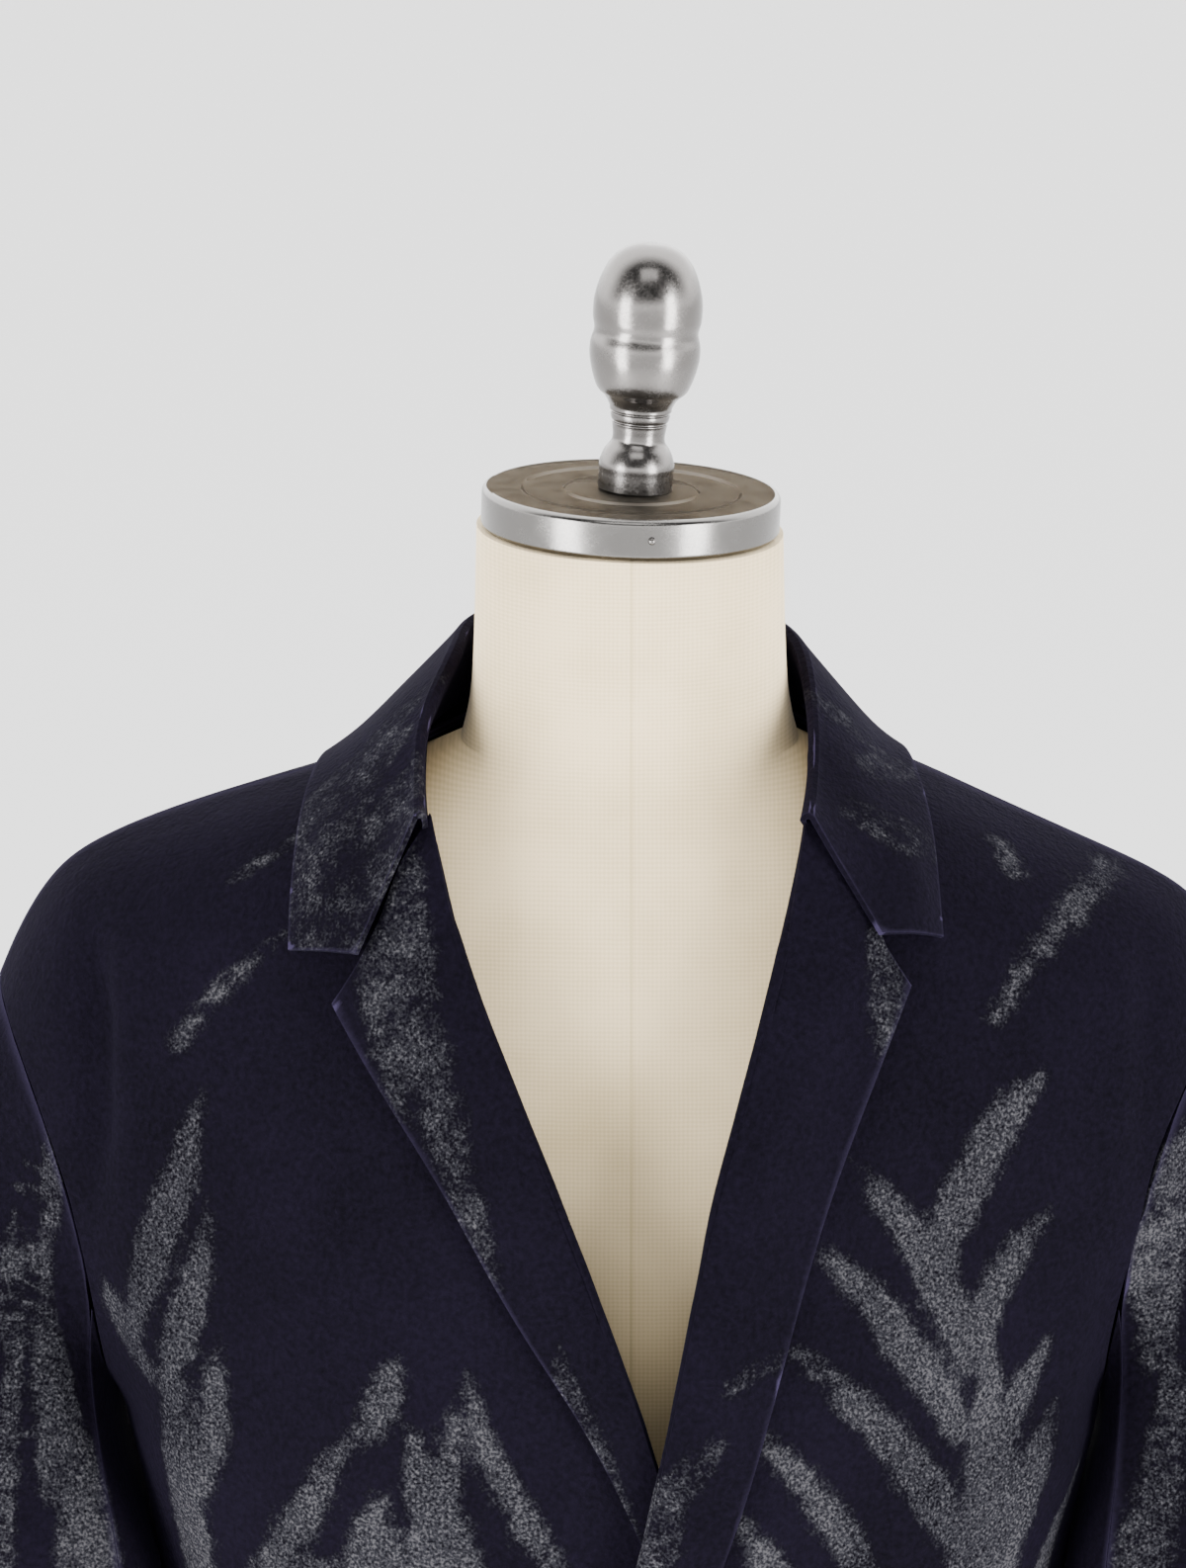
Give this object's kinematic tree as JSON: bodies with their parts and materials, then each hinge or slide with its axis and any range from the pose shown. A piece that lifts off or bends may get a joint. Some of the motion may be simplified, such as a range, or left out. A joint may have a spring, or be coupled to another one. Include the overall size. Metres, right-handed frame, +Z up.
{
  "type": "overcoat on dress form",
  "caption": "Single-breasted notched-lapel wool overcoat in a blade-leaf pattern, hung open-necked on a limbless dress form with a turned knob, a pole and a round base.",
  "frame": {"origin": "middle of the stand base's underside, on the floor", "axes": "+Z up, -Y the way the coat's front faces, +X to the wearer's left"},
  "size_m": [0.6171, 0.38, 1.6882],
  "materials": {
    "brushed_wool": "brushed double-faced wool, navy violet ground with charcoal melange blades",
    "cream_muslin": "plain cream muslin stretched over the padded form",
    "polished_aluminium": "cast aluminium, polished",
    "satin_steel": "satin steel tube",
    "grey_painted_iron": "grey stove paint on cast iron",
    "dark_horn": "dark horn-like resin, satin"
  },
  "bodies": {
    "root": {"back": "brushed_wool", "collar": "brushed_wool", "front_left": "brushed_wool", "front_right": "brushed_wool", "lapel_left": "brushed_wool", "lapel_right": "brushed_wool", "sleeve_under_left": "brushed_wool", "sleeve_under_right": "brushed_wool", "sleeve_upper_left": "brushed_wool", "sleeve_upper_right": "brushed_wool", "button_1": "dark_horn", "button_2": "dark_horn", "button_3": "dark_horn", "form_torso": "cream_muslin", "neck_cap": "polished_aluminium", "cap_knob": "polished_aluminium", "cap_pin": "polished_aluminium", "pole_flange": "satin_steel", "stand_pole": "satin_steel", "stand_base": "grey_painted_iron"}
  },
  "joints": []
}
